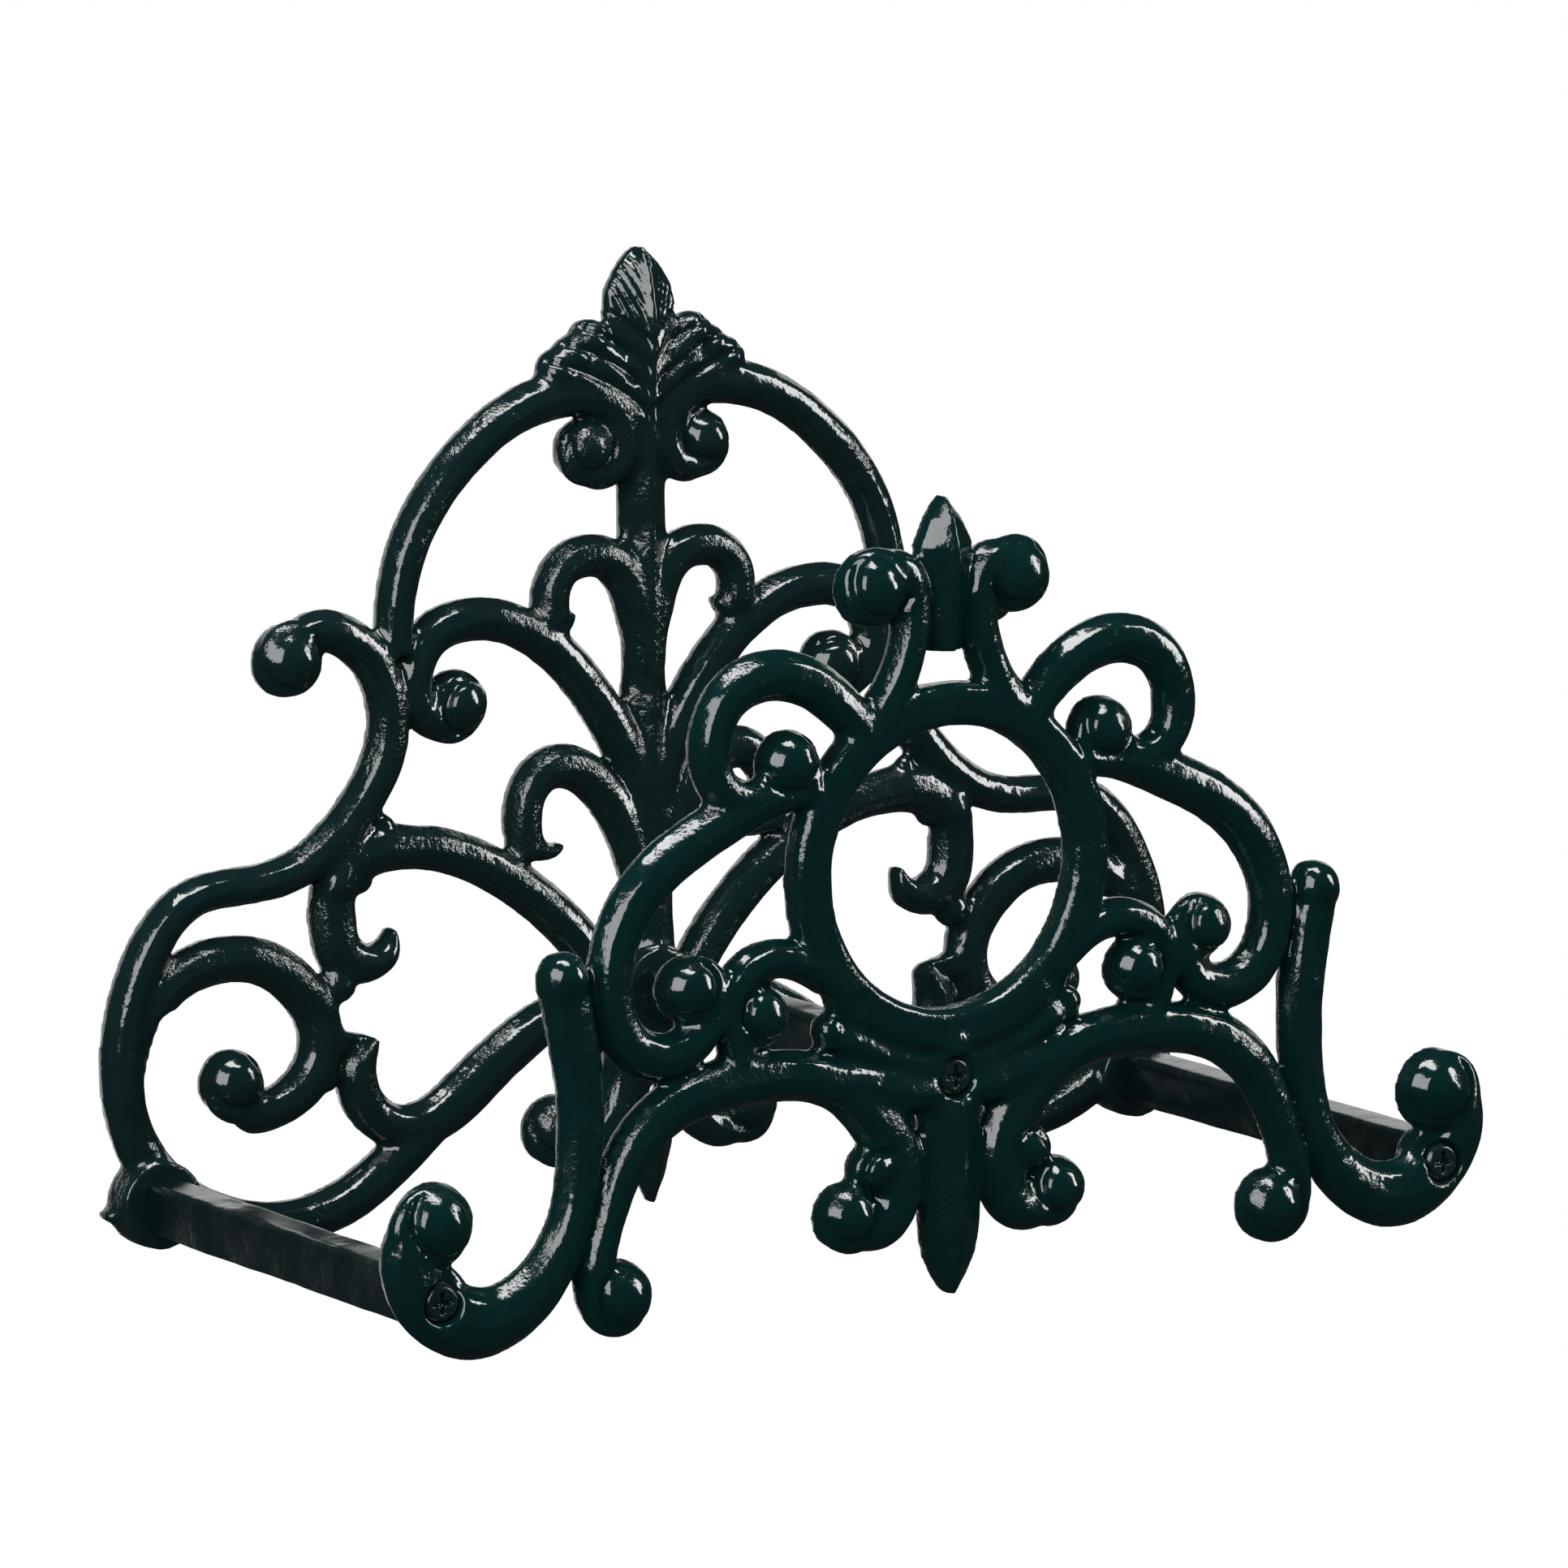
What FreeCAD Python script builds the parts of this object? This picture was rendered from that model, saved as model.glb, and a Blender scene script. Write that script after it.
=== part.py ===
import FreeCAD, Part
import math
import os

# Cast hose hanger: a scrolled back plate on the wall, a scrolled front plate
# held off it by three bars, and six screws. Millimetres. +X is right seen from
# the front, +Y goes into the wall, +Z is up. The wall face is Y = 0 and the
# centre screws lie on X = 0, Z = 0.

os.makedirs("parts", exist_ok=True)
V = FreeCAD.Vector

# The plates. Each is cast with a flat back.
half_depth = 4.0            # from the flat back to where a strand is widest
crown = 6.0                 # from there to the top of a strand
ball_crown = 13.0           # how far the larger balls stand off the flat back
front_back_face = -164.5    # Y of the front plate's flat back

# The ring in the front plate.
ring_z = 60.3
ring_in = 40.8
ring_out = 53.0
ring_thick = 9.5
ring_ease = 1.9             # chamfer of its front edges

# The bars and the pads they stand on.
bar_x = 170.0
bar_z = -45.0
bar_w = 12.0
bar_h = 15.2
bar_round = 1.6
pad_r = 13.0
back_pad = 12.0             # pad height on the back plate, from the wall
front_pad = 3.5             # pad height behind the front plate

# The screws that hold the bars.
screw_r = 3.0
head_r = 5.6
head_h = 3.2
head_gap = 0.7              # round the head in its recess
shank_gap = 0.3             # round the shank in the plate
tap_gap = 0.05              # round the shank in the bar's tapped hole
seat_front = 5.0            # plate left under a front screw head
seat_back = 6.0             # plate left over a rear screw head
bite = 14.0                 # how far a screw goes into its bar
cross_w = 1.3               # width of the cross in a screw head
cross_l = 6.4
cross_d = 1.8

# Two holes for wall screws, in the stem where the front plate hides it.
wall_hole_r = 2.6
wall_sink_r = 5.2
wall_hole_z = (31.0, -31.0)
sink_face = 10.0            # how far the stem stands off the wall there

# Strands of the front plate, right half: (x, z, width) along the middle line.
FRONT_STRANDS = {
    "curl": [(27, 99, 12), (34, 108.6, 13.5), (43.5, 116.2, 14.4), (53, 120, 14.9),
             (63, 120, 14.8), (72, 115.6, 14), (77.5, 107, 13.1), (78.3, 98, 12.8),
             (75.2, 90.3, 12.2), (68, 86.4, 11), (60, 88.5, 9)],
    "scroll": [(45, 87.5, 11), (57, 86, 12.5), (70, 81.8, 14), (83, 76, 14.8),
               (94.5, 69.2, 15), (103.8, 60.2, 15), (110, 49, 14.3), (112, 37, 13.8),
               (109.5, 25.5, 13.8), (103, 17.8, 14.4), (94, 15.4, 14), (85.8, 18.2, 12.6),
               (80.4, 25.5, 11), (80.6, 34, 9)],
    "hook": [(127.2, 41, 14.4), (125.2, 30, 12.8), (122.4, 13, 12.6), (121.9, -3, 12.4),
             (124.2, -21, 12.8), (131.5, -39, 15), (142.5, -49.5, 18), (154, -53.3, 20.5),
             (165.5, -50.5, 21), (174.5, -43.5, 18.5), (179.2, -34, 15), (177.3, -25.5, 12)],
    "arch": [(112.5, -56, 8), (118, -51.5, 11), (118.6, -43, 12), (115.2, -31, 11),
             (110.4, -18, 13), (101, -5, 14.8), (91, 1.3, 15.2), (79, 4.8, 15.4),
             (65, 6, 15.6), (50, 5.1, 15.2), (37, 0.6, 15.5), (26.5, -8.5, 16.5),
             (19, -20, 18), (17.8, -32, 16.5), (22.5, -41, 14), (31, -42.2, 11)],
    "fleur": [(22.5, 104, 14), (16, 115, 12), (12.7, 124, 11.4), (11.2, 135, 11.6),
              (13.2, 144.5, 12), (20, 147.5, 10)],
    "small": [(40, 30, 9), (49.5, 37.6, 11.2), (60.5, 39.4, 11.4), (69.8, 35, 10.6),
              (73.4, 27, 9.8), (72.4, 19, 9.6), (70.5, 11, 9)],
    "web": [(4, -4, 10), (13, -3.4, 14), (22, -1.6, 15), (32, 1, 12)],
}
# Balls of the front plate: (x, z, radius).
FRONT_BALLS = [(127.2, 41.4, 7.5), (169.8, -23.9, 12.4), (110.9, -51.4, 10.9), (35.4, -37.3, 9.7),
               (27, -24.6, 7.0), (86.8, 34, 9.5), (52.6, 94.5, 10.1), (24.2, 142, 11.3),
               (64, 23.8, 9.4), (40.3, 18.2, 6.9)]

# Strands of the back plate, right half.
BACK_STRANDS = {
    "big_arch": [(85.2, 108, 11.5), (85, 121, 11.8), (82.6, 133, 12), (78.5, 143, 12.3),
                 (72.3, 152.5, 12.6), (63.2, 162.5, 12.8), (52.5, 171, 13), (41.5, 176.8, 13.6),
                 (29.5, 179.9, 14), (17.5, 179.5, 14), (9.6, 173.5, 13), (7.6, 163.5, 12),
                 (11.5, 157, 10.4), (18.5, 156.3, 9)],
    "hook_top": [(1.5, 96, 9), (2.2, 110, 12), (5.6, 122.2, 13), (12.4, 130, 13),
                 (20.2, 131.6, 12.8), (28, 128.6, 12), (32, 121.5, 11.6), (31.6, 113.5, 11)],
    "hook_top_tip": [(32, 116, 9), (29, 112.2, 7), (26.2, 113.2, 3.6), (25.0, 115.4, 1.6)],
    "volute": [(66.5, 86.4, 8.5), (74.5, 88.2, 11), (79.3, 96.5, 12), (77.6, 107, 12.6),
               (70.5, 113.9, 13), (60, 116.2, 13.2), (49, 114.7, 13), (37.5, 109.2, 13),
               (25.5, 99, 13), (15.5, 86, 13.2), (8, 73, 13), (3, 60, 12), (1, 46, 10)],
    "outer": [(116.5, 116.2, 10.5), (108, 117.2, 12.8), (98.8, 112.8, 13), (91.2, 103.8, 13),
              (88, 92.5, 13), (88.8, 81, 13), (93.8, 70, 13), (101.6, 60.2, 13),
              (110.6, 52.4, 12.6), (120.5, 47.3, 12), (133, 44.9, 11.4), (146.5, 44.4, 11.3),
              (156.8, 41.6, 11.6), (165, 34.6, 12.4), (171.3, 24.5, 12.8), (175.8, 13, 13.2),
              (178.1, 0, 13.5), (178.3, -11, 13.3), (176.6, -21, 13.2), (172.4, -31, 13.5),
              (165.4, -40, 13.6), (155.6, -48, 13.6), (143.5, -53.4, 13.2), (130, -56.5, 13.2),
              (116.5, -56.2, 13.6), (103.4, -52.2, 14), (91.2, -45, 14), (80, -36.6, 13),
              (68, -27, 11)],
    "side_volute": [(169.5, 10.5, 11), (161.5, 18.6, 13.4), (151.5, 22.8, 14.1), (141, 23.6, 14.1),
                    (129.5, 20.6, 14.1), (119.6, 12.8, 14.1), (113, 2, 14.2), (113.6, -9, 13.6),
                    (120, -18, 13.3), (130, -22.4, 12.8), (139, -20.5, 10.5)],
    "link": [(105.5, 49, 11), (107.7, 38.5, 14.2), (107.5, 28, 15), (104.2, 20.2, 14.6),
             (97.6, 17.6, 12.4), (91.2, 19.4, 9.4), (88.6, 24, 5), (88.2, 27.4, 1.8)],
    "low_arch": [(107, 44, 11), (99, 49, 15), (90.2, 51.2, 15), (80.5, 50.4, 13.3),
                 (68.5, 48, 13.6), (56, 42.5, 13.8), (43.6, 34.7, 13.8), (32, 25, 13.6),
                 (21.6, 13.5, 13.6), (13.4, 0, 13.4), (9.6, -14, 13), (10.4, -28, 12.5),
                 (15.2, -39.4, 12.4), (23, -45.4, 12), (31, -44, 9.5)],
    "low_hook": [(2.5, 28, 9), (5.6, 42, 12), (11.4, 55.4, 13.2), (19.4, 65, 13.6),
                 (28.5, 69.5, 13.6), (37, 67.6, 12.6), (42, 60.5, 12), (42.8, 52, 11.6),
                 (41.6, 44, 10)],
    "low_hook_tip": [(42.4, 51, 9), (38, 45.6, 7.6), (33.4, 44.6, 4.6), (30, 46.6, 1.8)],
    "leaf_stem": [(100.4, -4.6, 12.4), (101, -14.6, 13), (98.4, -23.6, 13), (91, -30.8, 13.2),
                  (81.5, -33, 14), (71.5, -30, 15.2), (60, -22, 15.6), (48.4, -13.6, 15),
                  (36, -6.5, 13.6), (23, -3.6, 13), (10, -2.6, 12), (-3, -2.6, 11)],
    "foot": [(168, -45, 13), (176, -47.4, 10.5), (181.4, -47.9, 6), (185.6, -47.3, 2)],
    "lobe_high": [(3, 172, 9), (9.5, 183, 13), (14.5, 191, 13), (17.4, 195.6, 8)],
    "lobe_low": [(8, 172, 9), (16, 180, 13), (24, 185.4, 12), (28.6, 187.6, 7)],
}
BACK_BALLS = [(121, 109.4, 11.0), (20.4, 163.2, 8.9), (65.2, 91.8, 10.0), (142.4, -13, 9.9),
              (33.3, -39.6, 10.4), (17.4, 195.6, 6.2), (23.4, 191.4, 5.9), (28.8, 187.4, 6.1)]

# Ridged centre pieces: (z, half width, ridge height over the flat back, edge height).
CREST = [(176, 9, 11, 5), (190, 11, 12.5, 5.5), (203, 11.8, 12.5, 5), (210, 11, 11, 4.5),
         (216, 7.4, 9.5, 4), (220, 3.6, 7.5, 3.5), (222, 1, 5.5, 3)]
STEM = [(180, 7.6, 10.5, 4.5), (150, 7.5, 10.5, 4.5), (120, 7.6, 10.5, 4.5), (98, 6.4, 10.5, 4.5),
        (70, 8.5, 10.5, 4.5), (45, 9.5, 10.5, 4.5), (30, 8.2, 10.5, 4.5), (8, 9, 10.5, 4.5)]
SPEAR = [(-6, 8.4, 10.5, 4.5), (-30, 7.4, 10.5, 4.5), (-48, 7, 10.5, 4.5), (-58, 4.4, 8.5, 4),
         (-64, 1.6, 6.5, 3), (-66, 0.6, 5, 3)]
LEAF = [(122.5, 5.2, 9.4, 5), (127, 5.8, 10, 5), (140, 7.2, 11.5, 5.5), (153, 8.9, 12, 5.5),
        (160, 5.6, 10, 5), (165, 2, 7.5, 4), (166.8, 0.6, 6, 4)]
DROP = [(12, 8.6, 11, 6), (0, 9.8, 11.4, 6), (-22, 9.6, 11.4, 6), (-42, 9.8, 11, 5.5),
        (-52, 8.4, 10, 5), (-59, 5.2, 8.5, 4.5), (-63.4, 1.8, 7, 4), (-64.4, 0.6, 6, 4)]


def section(x, z, tx, tz, w):
    """Section of a strand at (x, z), running along (tx, tz). The keel is cut off later."""
    tall = min(crown, 1.6 + 0.42 * w)
    outline = [(-1, -half_depth), (-0.62, -half_depth - 0.8 * tall), (0, -half_depth - tall),
               (0.62, -half_depth - 0.8 * tall), (1, -half_depth), (0.9, 1.5), (0, 4.5), (-0.9, 1.5)]
    points = []
    for across, y in outline:
        side = across * w / 2
        points.append(V(x + tz * side, y, z - tx * side))
    return Part.makePolygon(points + points[:1])


def strand(points):
    """A strand lofted through sections set square to its middle line."""
    line = Part.BSplineCurve()
    line.interpolate([V(x, 0, z) for x, z, w in points])
    wires = []
    for x, z, w in points:
        u = line.parameter(V(x, 0, z))
        t = line.tangent(u)[0]
        wires.append(section(x, z, t.x, t.z, w))
    return Part.makeLoft(wires, True, False)


def ball(x, z, r):
    """A ball on the end of a scroll, turned as a few cones on a straight stub."""
    back = max(ball_crown - r, 1.2)
    if r < 9:
        back = half_depth
    outline = [V(0, 3, 0), V(r, 3, 0), V(r, -back, 0)]
    for angle in (25, 50, 75):
        a = math.radians(angle)
        outline.append(V(r * math.cos(a), -back - r * math.sin(a), 0))
    outline += [V(0, outline[-1].y, 0), V(0, 3, 0)]
    turned = Part.Face(Part.makePolygon(outline)).revolve(V(0, 0, 0), V(0, 1, 0), 360)
    turned.translate(V(x, 0, z))
    return turned


def blade(stations):
    """A ridged middle piece, with straight faces between stations."""
    wires = []
    for z, half, ridge, edge in stations:
        corners = [V(-half, 2, z), V(half, 2, z), V(half, -edge, z), V(0, -ridge, z), V(-half, -edge, z)]
        wires.append(Part.makePolygon(corners + corners[:1]))
    return Part.makeLoft(wires, True, True)


def ring():
    """The flat faced ring, with its two front edges eased."""
    c = ring_ease
    profile = Part.makePolygon([V(ring_in, 2, 0), V(ring_in, c - ring_thick, 0),
                                V(ring_in + c, -ring_thick, 0), V(ring_out - c, -ring_thick, 0),
                                V(ring_out, c - ring_thick, 0), V(ring_out, 2, 0), V(ring_in, 2, 0)])
    solid = Part.Face(profile).revolve(V(0, 0, 0), V(0, 1, 0), 360)
    solid.translate(V(0, 0, ring_z))
    return solid


def joined(pieces, name):
    """Join pieces one after another. A join that fails is tried with the piece moved a hair."""
    whole = pieces[0]
    for i, piece in enumerate(pieces[1:]):
        for nudge in (0, 0.04, -0.04, 0.09, -0.09):
            moved = piece.copy()
            moved.translate(V(nudge, nudge * 0.7, nudge * 0.6))
            step = whole.fuse(moved)
            if step.isValid() and step.Volume > max(whole.Volume, piece.Volume) - 1:
                break
        else:
            print(name, "piece", i + 1, "did not join")
            continue
        whole = step
    return whole


def both_halves(half):
    """Trim a right half to the flat back and the middle, and add its mirror image."""
    half = half.cut(Part.makeBox(600, 60, 600, V(-300, 0, -300)))
    half = half.cut(Part.makeBox(80, 80, 600, V(-80, -60, -300)))
    if len(half.Solids) != 1:
        print("the half is in", len(half.Solids), "pieces")
    return half.fuse(half.mirror(V(0, 0, 0), V(1, 0, 0)))


def rod(x, z, r, y0, y1):
    """A round rod along Y from y0 to y1."""
    return Part.makeCylinder(r, y1 - y0, V(x, y0, z), V(0, 1, 0))


def places():
    """Where the three bars and their screws are."""
    return [(-bar_x, bar_z), (0, 0), (bar_x, bar_z)]


def back_plate():
    pieces = [blade(STEM), blade(CREST), blade(SPEAR)]
    pieces += [strand(p) for p in BACK_STRANDS.values()]
    pieces += [ball(*b) for b in BACK_BALLS]
    pieces += [rod(bar_x, bar_z, pad_r, -back_pad, 2.0), rod(0, 0, pad_r, -back_pad, 2.0)]
    plate = both_halves(joined(pieces, "back"))
    for x, z in places():
        plate = plate.cut(rod(x, z, screw_r + shank_gap, -back_pad - 5, 5))
        plate = plate.cut(rod(x, z, head_r + head_gap, seat_back - back_pad, 5))
    for z in wall_hole_z:
        plate = plate.cut(rod(0, z, wall_hole_r, -30, 5))
        wide = wall_sink_r + 4
        plate = plate.cut(Part.makeCone(wide, wall_hole_r, wide - wall_hole_r, V(0, -sink_face - 4, z), V(0, 1, 0)))
    return plate


def front_plate():
    pieces = [ring(), blade(DROP), blade(LEAF)]
    pieces += [strand(p) for p in FRONT_STRANDS.values()]
    pieces += [ball(*b) for b in FRONT_BALLS]
    plate = both_halves(joined(pieces, "front"))
    for x, z in places():
        plate = plate.fuse(rod(x, z, pad_r - 2.5, -seat_front, front_pad))
    for x, z in places():
        plate = plate.cut(rod(x, z, screw_r + shank_gap, -30, 30))
        plate = plate.cut(rod(x, z, head_r + head_gap, -30, -seat_front))
    plate.translate(V(0, front_back_face, 0))
    return plate


def bar(x, z):
    y0 = front_back_face + front_pad
    y1 = -back_pad
    body = Part.makeBox(bar_w, y1 - y0, bar_h, V(x - bar_w / 2, y0, z - bar_h / 2))
    long_edges = []
    for e in body.Edges:
        if e.BoundBox.YLength > 10:
            long_edges.append(e)
    body = body.makeFillet(bar_round, long_edges)
    body = body.cut(rod(x, z, screw_r + tap_gap, y0 - 1, y0 + bite + 2))
    body = body.cut(rod(x, z, screw_r + tap_gap, y1 - bite - 2, y1 + 1))
    return body


def cross(x, z, y0, y1):
    a = Part.makeBox(cross_l, y1 - y0, cross_w, V(x - cross_l / 2, y0, z - cross_w / 2))
    b = Part.makeBox(cross_w, y1 - y0, cross_l, V(x - cross_w / 2, y0, z - cross_l / 2))
    return a.fuse(b)


def front_screw(x, z):
    """Head in the front recess, shank back into the bar."""
    seat = front_back_face - seat_front
    head = rod(x, z, head_r, seat - head_h, seat)
    head = head.makeChamfer(1.2, [head.Edges[0] if head.Edges[0].BoundBox.YMax < seat - 1 else head.Edges[2]])
    shank = rod(x, z, screw_r, seat - 0.5, front_back_face + front_pad + bite)
    return head.fuse(shank).cut(cross(x, z, seat - head_h - 1, seat - head_h + cross_d))


def back_screw(x, z):
    """Head in the recess behind the back plate, shank forward into the bar."""
    seat = seat_back - back_pad
    head = rod(x, z, head_r, seat, seat + head_h)
    shank = rod(x, z, screw_r, -back_pad - bite, seat + 0.5)
    return head.fuse(shank).cut(cross(x, z, seat + head_h - cross_d, seat + head_h + 1))


def save(shape, name):
    print(name, "valid", shape.isValid(), "solids", len(shape.Solids), "faces", len(shape.Faces),
          "volume", round(shape.Volume / 1000, 1))
    shape.exportStep("parts/" + name + ".step")


save(back_plate(), "back_plate")
save(front_plate(), "front_plate")
for (x, z), side in zip(places(), ("left", "centre", "right")):
    save(bar(x, z), side + "_bar")
    save(front_screw(x, z), side + "_front_screw")
    save(back_screw(x, z), side + "_back_screw")
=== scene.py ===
import math

import bmesh
import bpy
import numpy as np
from mathutils import Matrix, Vector, noise


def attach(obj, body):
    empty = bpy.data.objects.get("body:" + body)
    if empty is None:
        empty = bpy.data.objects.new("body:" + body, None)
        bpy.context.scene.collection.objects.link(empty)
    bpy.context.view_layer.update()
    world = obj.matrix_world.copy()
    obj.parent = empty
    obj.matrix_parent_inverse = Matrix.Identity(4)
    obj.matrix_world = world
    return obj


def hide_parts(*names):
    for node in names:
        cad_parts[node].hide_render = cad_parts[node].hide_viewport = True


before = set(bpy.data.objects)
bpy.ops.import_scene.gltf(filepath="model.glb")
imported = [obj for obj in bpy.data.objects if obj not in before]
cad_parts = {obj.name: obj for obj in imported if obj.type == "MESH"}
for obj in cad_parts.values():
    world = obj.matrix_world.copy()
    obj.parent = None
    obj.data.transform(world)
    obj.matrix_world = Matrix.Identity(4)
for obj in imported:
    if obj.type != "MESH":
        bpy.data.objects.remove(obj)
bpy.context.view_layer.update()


# Back plate: the casting that goes on the wall. It is iron, sand cast in one piece with a flat
# back, and dipped in thick gloss enamel. Its sharp corners have run full of metal and enamel.
# Two screws through the stem hold it on the wall. Tables give the right half, in millimetres.

CAST_SKIN = 0.00098         # size of the small faces of both castings
CAST_ROUNDS = 10            # rounds of softening
CAST_KEEP = 0.6             # share of an outside corner that stays
SAND_DEPTH = 0.00020        # unevenness that the sand leaves, and the size of its lumps
SAND_GRAIN = 0.010
BACK_FACES_KEPT = 0.64
LEAF_TIP_X = 94.6           # millimetres, like the tables
VOLUTE_CORNER_X = 169.2
ROLL_FROM_FAT = 4.7         # radius of a rolled strand where it starts and where it ends
ROLL_TO_FAT = 2.4
ROLL_Y = -4.6
ROLL_GROOVE = 0.0015
GROOVE_WIDTH = 1.0
GROOVE_OFF_BACK = 0.005     # no groove is cut nearer to the flat back than this
# Rolled ends: x, z and radius of the ball, the side in degrees where its groove runs out, the
# degrees from and to which the strand rolls on round it, and its rise over the ball at both.
BACK_ROLLS = [(121, 109.4, 11.0, 60, 123, 5, 2.2, -0.4), (20.4, 163.2, 8.9, 100, -105, 15, 2.6, -0.4),
              (65.2, 91.8, 10.0, 200, -25, -150, 4.2, -0.4), (142.4, -13, 9.9, 60, -114, 5, 3.2, -0.4),
              (33.3, -39.6, 10.4, 80, -118, -10, 1.8, -0.4)]
# Corners between strands that have run full: x, y, z and radius.
BACK_CORNERS = [(107, -4, 12.5, 6), (99.3, -4, 42.8, 4.6), (112, -4, -14.5, 5), (168.6, -4.4, 16, 5.6),
                (90.5, -4, 58, 3.5), (170.6, -4.6, 12, 5.2), (172.3, -4.6, 8, 5), (173.8, -4.6, 4, 4.8),
                (174.9, -4.6, 0, 4.6), (176, -4.6, -4, 4.6)]
# Crest: the heights at which its ribs and veins leave the middle line.
RIB_LINES = (168, 174.8, 181.8, 189.6)
VEIN_LINES = (182, 188.5, 195, 201.5, 208, 214.5)
CREST_DEPTH = 0.0014
CREST_OFF_BACK = 0.0035


def closed_copy(node, name):
    """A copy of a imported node, with its faces joined up again."""
    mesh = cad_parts[node].data.copy()
    mesh.materials.clear()
    bm = bmesh.new()
    bm.from_mesh(mesh)
    bmesh.ops.remove_doubles(bm, verts=bm.verts, dist=0.000004)
    bm.to_mesh(mesh)
    bm.free()
    piece = bpy.data.objects.new(name, mesh)
    bpy.context.collection.objects.link(piece)
    return piece


def points_of(mesh):
    co = np.empty(len(mesh.vertices) * 3)
    mesh.vertices.foreach_get("co", co)
    return co.reshape(-1, 3)


def normals_of(mesh):
    no = np.empty(len(mesh.vertices) * 3)
    mesh.vertex_normals.foreach_get("vector", no)
    return no.reshape(-1, 3)


def move_points(mesh, co):
    mesh.vertices.foreach_set("co", co.ravel())
    mesh.update()


def right_half(co):
    """The side that each point is on, and its x and z in mm, folded over to the right half."""
    return np.sign(co[:, 0]), np.abs(co[:, 0]) * 1000, co[:, 2] * 1000


def point_leaf_tips(piece):
    """Draws the two leaf tips at the sides out to points, and takes back a corner under each volute."""
    co = points_of(piece.data)
    side, x, z = right_half(co)
    tip = (x > 91) & (x < 106.5) & (z > -14) & (z < -2)
    along_tip = np.clip((z + 14) / 9, 0, 1)
    drawn = LEAF_TIP_X + (x - LEAF_TIP_X) * (1 - 0.75 * along_tip ** 1.3)
    co[tip, 0] = (side * drawn / 1000)[tip]
    corner = (x > 163) & (x < 168.8) & (z > 3) & (z < 9.4)
    co[corner, 0] = (side * VOLUTE_CORNER_X / 1000)[corner]
    move_points(piece.data, co)


def run_full(piece, lumps, y0):
    """Adds lumps of metal at both sides, which the skin then takes in."""
    bm = bmesh.new()
    bm.from_mesh(piece.data)
    for x, y, z, r in lumps:
        for side in (-1, 1):
            place = Matrix.Translation((side * x / 1000, y0 + y / 1000, z / 1000))
            bmesh.ops.create_icosphere(bm, subdivisions=2, radius=r / 1000, matrix=place)
    bm.to_mesh(piece.data)
    bm.free()


def roll_strands(piece, rolls, y0):
    """Carries each strand on round the ball at its end, thinner and thinner."""
    lumps = []
    for x, z, r, open_side, start, end, rise, rise_end in rolls:
        steps = int(abs(end - start) / 7) + 2
        for k in range(steps):
            t = k / (steps - 1)
            angle = math.radians(start + (end - start) * t)
            fat = ROLL_FROM_FAT + (ROLL_TO_FAT - ROLL_FROM_FAT) * t
            out = r + rise + (rise_end - rise) * t - fat
            lumps.append((x + out * math.cos(angle), ROLL_Y, z + out * math.sin(angle), fat))
    run_full(piece, lumps, y0)


def settle(piece):
    """Keeps what the modifiers make as the piece's own mesh."""
    held = bpy.context.evaluated_depsgraph_get()
    mesh = bpy.data.meshes.new_from_object(piece.evaluated_get(held))
    piece.modifiers.clear()
    piece.data = mesh


def even_skin(piece, step):
    """Lays a skin of even small faces over the piece, as one closed mesh."""
    remesh = piece.modifiers.new("skin", "REMESH")
    remesh.mode = "VOXEL"
    remesh.voxel_size = step
    remesh.adaptivity = 0
    settle(piece)


def thin_out(piece, share):
    """Merges small faces where the skin is flat, and keeps the given share of them."""
    fewer = piece.modifiers.new("fewer", "DECIMATE")
    fewer.ratio = share
    settle(piece)


def soften(piece, rounds, flat_y=None, keep=0.5):
    """Fills inside corners like a cast fillet, and eases outside corners less, by the share given.

    Each round moves every point six tenths of the way to the middle of its neighbours.
    """
    mesh = piece.data
    edges = np.empty(len(mesh.edges) * 2, dtype=np.int64)
    mesh.edges.foreach_get("vertices", edges)
    edges = edges.reshape(-1, 2)
    count = np.bincount(edges.ravel(), minlength=len(mesh.vertices)).astype(float)
    count = np.maximum(count, 1)[:, None]
    co = points_of(mesh)
    start = co.copy()
    for i in range(rounds):
        total = np.zeros_like(co)
        np.add.at(total, edges[:, 0], co[edges[:, 1]])
        np.add.at(total, edges[:, 1], co[edges[:, 0]])
        co += 0.6 * (total / count - co)
    moved = co - start
    outward = np.sum(moved * normals_of(mesh), axis=1)[:, None]
    co = start + moved * np.where(outward < 0, 1 - keep, 1.0)
    if flat_y is not None:
        on_back = np.abs(start[:, 1] - flat_y) < 0.0006
        co[on_back, 1] = flat_y
        co[:, 1] = np.minimum(co[:, 1], flat_y)
    move_points(mesh, co)


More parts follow.
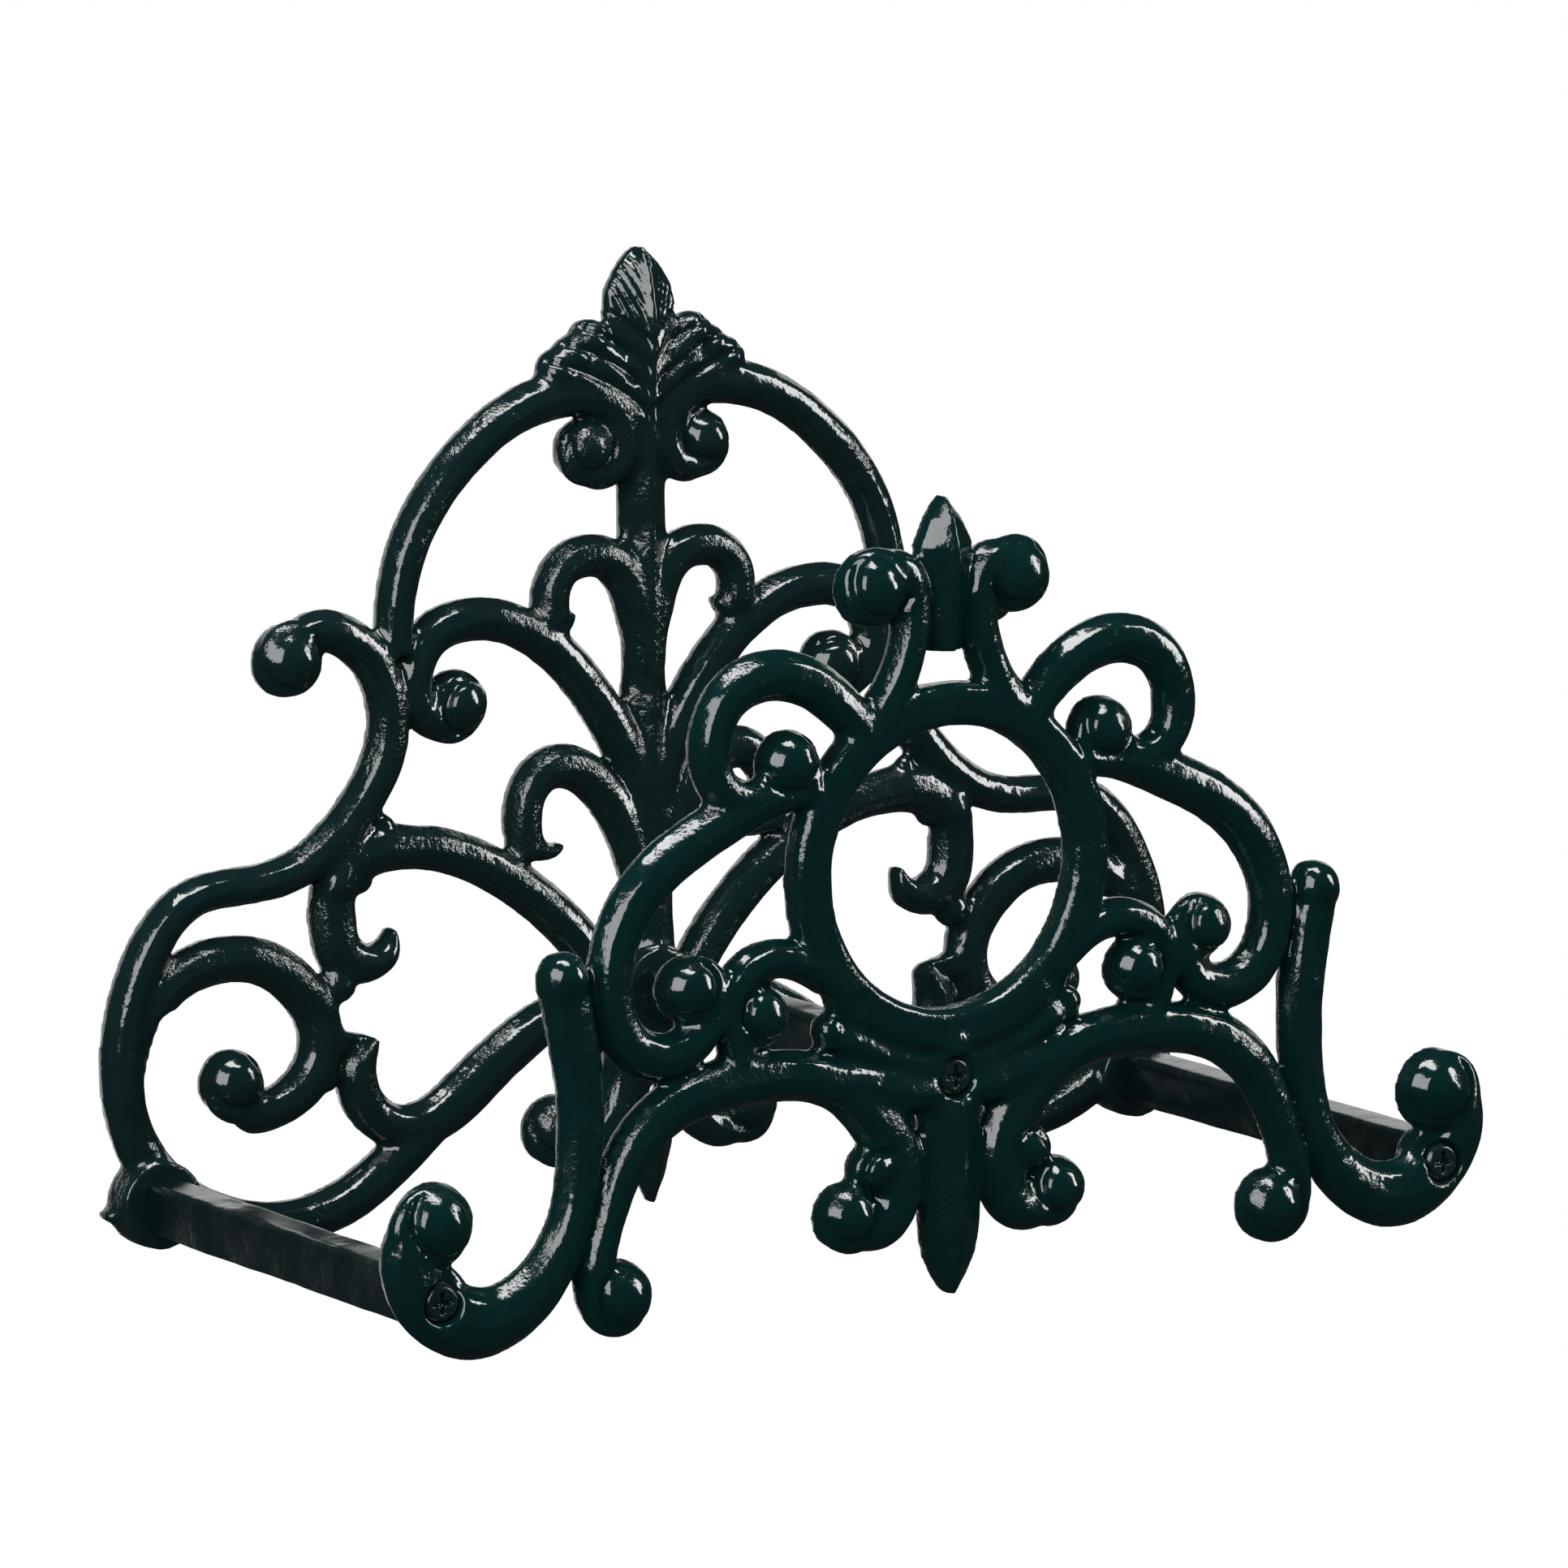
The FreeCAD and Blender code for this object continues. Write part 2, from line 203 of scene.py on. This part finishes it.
def carve_crest(piece):
    """Cuts the acanthus crest: curved ribs in the side lobes, and fine veins in the middle leaf."""
    co = points_of(piece.data)
    side, x, z = right_half(co)
    # A rib rises from the middle line as 4 * sqrt(x), and a vein as 2.6 * x. A height over one
    # of them is divided by its steepness, which gives the distance from it.
    rib = z - 4 * np.sqrt(x)
    rib_steep = np.sqrt(1 + 4 / np.maximum(x, 0.6))
    vein = z - 2.6 * x
    vein_steep = 2.8
    vein_width = 0.85
    cut = np.zeros(len(co))
    for line in RIB_LINES:
        cut = np.maximum(cut, np.exp(-((rib - line) / rib_steep) ** 2))
    cut *= np.clip((x - 0.5) / 1.5, 0, 1) * (z > 168) * (rib < 190.5)
    for line in VEIN_LINES:
        fine = np.exp(-((vein - line) / vein_steep / vein_width) ** 2) * np.clip((x - 0.8) / 2, 0, 1)
        cut = np.maximum(cut, 0.6 * fine * (rib > 191))
    ridge = np.exp(-(x / 0.9) ** 2) * (z > 196) * 0.35
    depth = np.where(co[:, 1] < -CREST_OFF_BACK, ridge - cut, 0)
    co += normals_of(piece.data) * (depth * CREST_DEPTH)[:, None]
    move_points(piece.data, co)


def groove_balls(piece, balls, y0):
    """Cuts a shallow groove most of the way round each ball, where the strand rolls up to it.

    The groove runs out 50 degrees from the open side, and lies nearer to the middle opposite.
    """
    co = points_of(piece.data)
    side, x, z = right_half(co)
    cut = np.zeros(len(co))
    for ball_x, ball_z, r, open_side in balls:
        away = np.hypot(x - ball_x, z - ball_z)
        angle = np.degrees(np.arctan2(z - ball_z, x - ball_x))
        turned = np.abs((angle - open_side + 180) % 360 - 180)
        inward = 0.92 - 0.25 * np.clip((turned - 60) / 90, 0, 1)
        line = np.exp(-((away - inward * r) / GROOVE_WIDTH) ** 2) * np.clip((turned - 50) / 25, 0, 1)
        cut = np.maximum(cut, np.where(co[:, 1] < y0 - GROOVE_OFF_BACK, line, 0))
    co -= normals_of(piece.data) * (cut * ROLL_GROOVE)[:, None]
    move_points(piece.data, co)


def sand_cast(piece, depth, grain, flat_y=None):
    """Moves the skin in and out a little, as a sand mould leaves it."""
    co = points_of(piece.data)
    push = np.empty(len(co))
    for i, p in enumerate(co):
        push[i] = noise.fractal(Vector(p) / grain, 0.9, 2.1, 3)
    co += normals_of(piece.data) * (push * depth)[:, None]
    if flat_y is not None:
        co[:, 1] = np.minimum(co[:, 1], flat_y)
    move_points(piece.data, co)


def smooth_shaded(piece):
    piece.data.polygons.foreach_set("use_smooth", [True] * len(piece.data.polygons))


back = closed_copy("back_plate", "back_plate_casting")
point_leaf_tips(back)
run_full(back, BACK_CORNERS, 0.0)
roll_strands(back, BACK_ROLLS, 0.0)
even_skin(back, CAST_SKIN)
soften(back, CAST_ROUNDS, flat_y=0.0, keep=CAST_KEEP)
carve_crest(back)
groove_balls(back, [roll[:4] for roll in BACK_ROLLS], 0.0)
sand_cast(back, SAND_DEPTH, SAND_GRAIN, flat_y=0.0)
thin_out(back, BACK_FACES_KEPT)
smooth_shaded(back)


def math_node(nodes, operation, value=None):
    node = nodes.new("ShaderNodeMath")
    node.operation = operation
    if value is not None:
        node.inputs[1].default_value = value
    return node


def enamel_effect():
    """Thick enamel on a sand casting: orange peel, patches of pits, and a paler colour on the peel."""
    group = bpy.data.node_groups.new("enamel over casting", "ShaderNodeTree")
    for name, kind in (("Colour", "Color"), ("Thin colour", "Color"), ("Gloss roughness", "Float"),
                       ("Peel per metre", "Float"), ("Pits per metre", "Float"), ("Pit share", "Float")):
        group.interface.new_socket(name, in_out="INPUT", socket_type="NodeSocket" + kind)
    for name, kind in (("Colour", "Color"), ("Roughness", "Float"), ("Height", "Float")):
        group.interface.new_socket(name, in_out="OUTPUT", socket_type="NodeSocket" + kind)
    n, link = group.nodes, group.links.new
    given = n.new("NodeGroupInput")
    result = n.new("NodeGroupOutput")
    where = n.new("ShaderNodeTexCoord")

    peel = n.new("ShaderNodeTexNoise")
    peel.inputs["Detail"].default_value = 3.0
    peel.inputs["Roughness"].default_value = 0.55
    link(where.outputs["Object"], peel.inputs["Vector"])
    link(given.outputs["Peel per metre"], peel.inputs["Scale"])

    pits = n.new("ShaderNodeTexNoise")
    pits.inputs["Detail"].default_value = 2.0
    pits.inputs["Roughness"].default_value = 0.6
    link(where.outputs["Object"], pits.inputs["Vector"])
    link(given.outputs["Pits per metre"], pits.inputs["Scale"])

    patches = n.new("ShaderNodeTexNoise")
    patches.inputs["Scale"].default_value = 46.0
    patches.inputs["Detail"].default_value = 2.0
    link(where.outputs["Object"], patches.inputs["Vector"])
    in_patch = n.new("ShaderNodeMapRange")
    in_patch.inputs["From Min"].default_value = 0.46
    in_patch.inputs["From Max"].default_value = 0.62
    link(patches.outputs["Fac"], in_patch.inputs["Value"])

    pit_depth = math_node(n, "MULTIPLY")
    link(pits.outputs["Fac"], pit_depth.inputs[0])
    link(given.outputs["Pit share"], pit_depth.inputs[1])
    some_everywhere = math_node(n, "ADD", 0.04)
    link(in_patch.outputs["Result"], some_everywhere.inputs[0])
    patchy = math_node(n, "MULTIPLY")
    link(pit_depth.outputs["Value"], patchy.inputs[0])
    link(some_everywhere.outputs["Value"], patchy.inputs[1])
    height = math_node(n, "ADD")
    link(peel.outputs["Fac"], height.inputs[0])
    link(patchy.outputs["Value"], height.inputs[1])
    link(height.outputs["Value"], result.inputs["Height"])

    dull = math_node(n, "MULTIPLY_ADD", 0.06)
    link(in_patch.outputs["Result"], dull.inputs[0])
    link(given.outputs["Gloss roughness"], dull.inputs[2])
    link(dull.outputs["Value"], result.inputs["Roughness"])

    colour = n.new("ShaderNodeMix")
    colour.data_type = "RGBA"
    link(peel.outputs["Fac"], colour.inputs["Factor"])
    link(given.outputs["Colour"], colour.inputs["A"])
    link(given.outputs["Thin colour"], colour.inputs["B"])
    link(colour.outputs["Result"], result.inputs["Colour"])
    return group


ENAMEL_EFFECT = enamel_effect()


def enamel(name, colour, thin, roughness, peel, pits, pit_share, bump):
    """Gloss enamel. Colours are linear, peel and pits are counted per metre, bump is in metres."""
    paint = bpy.data.materials.new(name)
    paint.use_nodes = True
    n, link = paint.node_tree.nodes, paint.node_tree.links.new
    shader = n["Principled BSDF"]
    effect = n.new("ShaderNodeGroup")
    effect.node_tree = ENAMEL_EFFECT
    for socket, value in (("Colour", colour), ("Thin colour", thin), ("Gloss roughness", roughness),
                          ("Peel per metre", peel), ("Pits per metre", pits), ("Pit share", pit_share)):
        effect.inputs[socket].default_value = value
    uneven = n.new("ShaderNodeBump")
    uneven.inputs["Strength"].default_value = 1.0
    uneven.inputs["Distance"].default_value = bump
    link(effect.outputs["Colour"], shader.inputs["Base Color"])
    link(effect.outputs["Roughness"], shader.inputs["Roughness"])
    link(effect.outputs["Height"], uneven.inputs["Height"])
    link(uneven.outputs["Normal"], shader.inputs["Normal"])
    return paint


GREEN = (0.0018, 0.0074, 0.0078, 1)
GREEN_THIN = (0.0034, 0.0104, 0.0110, 1)
back_green = enamel("green enamel on back plate", GREEN, GREEN_THIN, roughness=0.1,
                    peel=150, pits=620, pit_share=1.3, bump=0.00032)
back.data.materials.append(back_green)
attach(back, "root")
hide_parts("back_plate")


# Front plate: the second iron casting, with the ring, the fleur, the scrolls and the two upturned
# hooks that keep the hose from sliding off. Three screws hold it on the front ends of the bars.
# The metal has run full between the ring and the arch, and the enamel has fewer pits.

FRONT_FLAT_Y = -0.1645
FRONT_FACES_KEPT = 0.86
FRONT_ROLLS = [(169.8, -23.9, 12.4, 120, -38, 80, 4.6, -0.4), (110.9, -51.4, 10.9, 120, -10, -135, 2.0, -0.4),
               (35.4, -37.3, 9.7, 60, -130, -20, 2.4, -0.4), (86.8, 34, 9.5, 40, 195, 80, 4.0, -0.4),
               (52.6, 94.5, 10.1, 60, -35, -165, 3.8, 0.2), (24.2, 142, 11.3, 120, 150, 15, 1.8, -0.4)]
PLAIN_BALLS = [(64, 23.8, 9.4, 120), (27, -24.6, 7.0, 200)]
# Metal between the ring and the arch: x, y, z and radius along two lines.
RING_FILL = [(5, -4.2, 2.8, 4.8), (14, -4.2, 5, 4.8), (22, -4.2, 7.8, 4.9), (28, -4.2, 10.4, 5.1),
             (34, -4.2, 13.6, 5.2)]
ARCH_FILL = [(28, -4.2, 0.5, 6), (37, -4.2, 2.8, 6)]
# Middle line and widening of the hooks' upright strands, by height.
HOOK_Z = [-21, -3, 13, 30, 41, 49]
HOOK_X = [124.2, 121.9, 122.4, 125.6, 128.0, 129.6]
WIDE_Z = [-15, -3, 13, 30, 36, 41, 45, 47, 48.8]
WIDE_BY = [1, 1.17, 1.18, 1.2, 1.18, 0.98, 0.98, 1.05, 1.25]


def shape_hooks(piece):
    """Widens the upright strands of the two hooks, which end blunt, and draws in the two small beads."""
    co = points_of(piece.data)
    side, x, z = right_half(co)
    middle = np.interp(z, HOOK_Z, HOOK_X)
    upright_part = (z > -15) & (np.abs(x - middle) < 8.6) & (x > 113)
    wide = np.interp(z, WIDE_Z, WIDE_BY)
    co[upright_part, 0] = (side * (middle + (x - middle) * wide) / 1000)[upright_part]
    bead_x, bead_z, bead_r, drawn_in = 40.3, 18.2, 6.9, 0.68
    bead = (np.hypot(x - bead_x, z - bead_z) < bead_r + 0.4) & (z > bead_z - 0.72 * bead_r)
    co[bead, 0] = (side * (bead_x + (x - bead_x) * drawn_in) / 1000)[bead]
    co[bead, 2] = ((bead_z - 1.2 + (z - bead_z) * drawn_in) / 1000)[bead]
    co[bead, 1] = (FRONT_FLAT_Y + (co[:, 1] - FRONT_FLAT_Y) * (drawn_in + 0.1))[bead]
    move_points(piece.data, co)


def along(line, steps):
    """Lumps set close together along a line."""
    at = np.linspace(0, len(line) - 1, steps)
    return [tuple(np.interp(t, range(len(line)), [p[k] for p in line]) for k in range(4)) for t in at]


front = closed_copy("front_plate", "front_plate_casting")
shape_hooks(front)
run_full(front, along(RING_FILL, 18) + along(ARCH_FILL, 7), FRONT_FLAT_Y)
roll_strands(front, FRONT_ROLLS, FRONT_FLAT_Y)
even_skin(front, CAST_SKIN)
soften(front, CAST_ROUNDS, keep=CAST_KEEP)
groove_balls(front, [roll[:4] for roll in FRONT_ROLLS] + PLAIN_BALLS, FRONT_FLAT_Y)
sand_cast(front, SAND_DEPTH, SAND_GRAIN)
thin_out(front, FRONT_FACES_KEPT)
smooth_shaded(front)

FRONT_GREEN = (0.0006, 0.0082, 0.0080, 1)
FRONT_THIN = (0.0014, 0.0112, 0.0110, 1)
front_green = enamel("green enamel on front plate", FRONT_GREEN, FRONT_THIN, roughness=0.1,
                     peel=150, pits=620, pit_share=0.9, bump=0.0003)
front.data.materials.append(front_green)
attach(front, "root")
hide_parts("front_plate")


# Bars: three straight cast iron bars that carry the hose and hold the plates apart. Each is
# tapped at both ends for a screw. They have soft edges and the same enamel, smoother. Its darker
# colour here is painted shade, for where the bars lie between the plates.

BAR_SKIN = 0.0007
BAR_DEPTH = 0.00022
BAR_GRAIN = 0.019
# Painted shade: the plates' green made darker, because the bars lie in the shade between the plates.
BAR_SHADED_GREEN = (0.0008, 0.0046, 0.0050, 1)
BAR_SHADED_THIN = (0.0018, 0.0064, 0.0070, 1)
bar_shaded_green = enamel("green enamel on bars darkened as painted shade", BAR_SHADED_GREEN, BAR_SHADED_THIN, roughness=0.17,
                   peel=90, pits=620, pit_share=0.8, bump=0.00012)

for side in ("left", "centre", "right"):
    bar = closed_copy(side + "_bar", side + "_bar_casting")
    even_skin(bar, BAR_SKIN)
    soften(bar, 5)
    sand_cast(bar, BAR_DEPTH, BAR_GRAIN)
    smooth_shaded(bar)
    bar.data.materials.append(bar_shaded_green)
    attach(bar, "root")
    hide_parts(side + "_bar")


# Screws: steel machine screws with a cross, three from the front and three from behind. They were
# painted over with the castings, so enamel rounds their edges and the cross.

SCREW_SKIN = 0.00028
screw_green = enamel("green enamel on screws", GREEN, GREEN_THIN, roughness=0.2,
                     peel=700, pits=1800, pit_share=0.3, bump=0.0001)

for side in ("left", "centre", "right"):
    for face in ("front", "back"):
        node = side + "_" + face + "_screw"
        screw = closed_copy(node, node + "_painted")
        even_skin(screw, SCREW_SKIN)
        soften(screw, 3, keep=0.3)
        smooth_shaded(screw)
        screw.data.materials.append(screw_green)
        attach(screw, "root")
        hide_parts(node)


# Studio: a white sweep that the camera and reflections see, a dim shell that only reflections
# see, open behind the hanger, and three large soft lamps at the left, at the right and above.

ROOM_LIGHT = 0.35
ROOM_RADIUS = 4.2
OPEN_BEHIND = 3.8           # the shell is open farther back than this,
WINDOW_TURN = (8, 56)       # and in a window at the right of that, in degrees from straight back
WINDOW_RISE = (0, 24)
MIDDLE_OF_HANGER = (0, -0.09, 0.07)

world = bpy.data.worlds.new("white sweep")
bpy.context.scene.world = world
world.use_nodes = True
n, link = world.node_tree.nodes, world.node_tree.links.new
n.clear()


def background(strength):
    plain = n.new("ShaderNodeBackground")
    plain.inputs["Color"].default_value = (1, 1, 1, 1)
    plain.inputs["Strength"].default_value = strength
    return plain


seen = n.new("ShaderNodeLightPath")
camera_or_glossy = math_node(n, "MAXIMUM")
link(seen.outputs["Is Camera Ray"], camera_or_glossy.inputs[0])
link(seen.outputs["Is Glossy Ray"], camera_or_glossy.inputs[1])
sees_white = math_node(n, "MAXIMUM")
link(camera_or_glossy.outputs["Value"], sees_white.inputs[0])
link(seen.outputs["Is Transmission Ray"], sees_white.inputs[1])
room_or_white = n.new("ShaderNodeMixShader")
link(sees_white.outputs["Value"], room_or_white.inputs["Fac"])
link(background(ROOM_LIGHT).outputs["Background"], room_or_white.inputs[1])
link(background(1.0).outputs["Background"], room_or_white.inputs[2])
surround = n.new("ShaderNodeOutputWorld")
link(room_or_white.outputs["Shader"], surround.inputs["Surface"])


def dim_room():
    """A dark shell round the hanger, which the camera and plain light pass through."""
    bm = bmesh.new()
    bmesh.ops.create_uvsphere(bm, u_segments=64, v_segments=48, radius=ROOM_RADIUS)
    openings = []
    for f in bm.faces:
        c = f.calc_center_median()
        turned = math.degrees(math.atan2(c.x, c.y))
        raised = math.degrees(math.asin(c.z / ROOM_RADIUS))
        in_window = WINDOW_TURN[0] < turned < WINDOW_TURN[1] and WINDOW_RISE[0] < raised < WINDOW_RISE[1]
        if c.y > OPEN_BEHIND or in_window:
            openings.append(f)
    bmesh.ops.delete(bm, geom=openings, context="FACES")
    mesh = bpy.data.meshes.new("dim_room")
    bm.to_mesh(mesh)
    bm.free()
    room = bpy.data.objects.new("dim_room", mesh)
    bpy.context.collection.objects.link(room)
    paint = bpy.data.materials.new("dark felt")
    paint.use_nodes = True
    felt = paint.node_tree.nodes["Principled BSDF"]
    felt.inputs["Base Color"].default_value = (0.03, 0.03, 0.032, 1)
    felt.inputs["Roughness"].default_value = 1.0
    mesh.materials.append(paint)
    room.visible_camera = False
    room.visible_diffuse = False
    room.visible_shadow = False


dim_room()


def soft_lamp(name, place, across, up, watts):
    """A softbox at place, turned to the middle of the hanger."""
    data = bpy.data.lights.new(name, "AREA")
    data.shape = "RECTANGLE"
    data.size = across
    data.size_y = up
    data.energy = watts
    lamp = bpy.data.objects.new(name, data)
    bpy.context.collection.objects.link(lamp)
    aim = Vector(MIDDLE_OF_HANGER) - Vector(place)
    lamp.matrix_world = Matrix.Translation(place) @ aim.to_track_quat("-Z", "Y").to_matrix().to_4x4()


soft_lamp("left softbox", (-1.85, -1.1, 1.0), across=1.8, up=1.8, watts=76)
soft_lamp("right softbox", (1.8, -1.3, 0.8), across=0.5, up=1.5, watts=36)
soft_lamp("top softbox", (-0.2, -0.3, 2.2), across=1.7, up=0.7, watts=60)


# Camera: a long lens on a stand, to the left of the hanger and a little above it. Its place and
# turn come from mirrored points of both plates. The small shifts centre the picture.

CAMERA_PLACE = (-1.6317, -2.7129, 0.5943)
camera = bpy.data.cameras.new("camera")
camera.lens = 247.7
camera.sensor_width = 36
camera.clip_end = 50
camera.shift_x = -0.0014
camera.shift_y = 0.0018
turn = math.radians(-31.81)
lift = math.radians(9.59)
tilt = math.radians(-0.65)
across = Vector((math.cos(turn), math.sin(turn), 0))
behind = Vector((math.sin(turn) * math.cos(lift), -math.cos(turn) * math.cos(lift), math.sin(lift)))
upward = behind.cross(across)
level = across * math.cos(tilt) + upward * math.sin(tilt)
upright = upward * math.cos(tilt) - across * math.sin(tilt)
axes = Matrix((level, upright, behind)).transposed().to_4x4()
eye = bpy.data.objects.new("camera", camera)
bpy.context.collection.objects.link(eye)
eye.matrix_world = Matrix.Translation(CAMERA_PLACE) @ axes

bpy.context.scene.camera = eye
bpy.context.scene.view_settings.view_transform = "Standard"
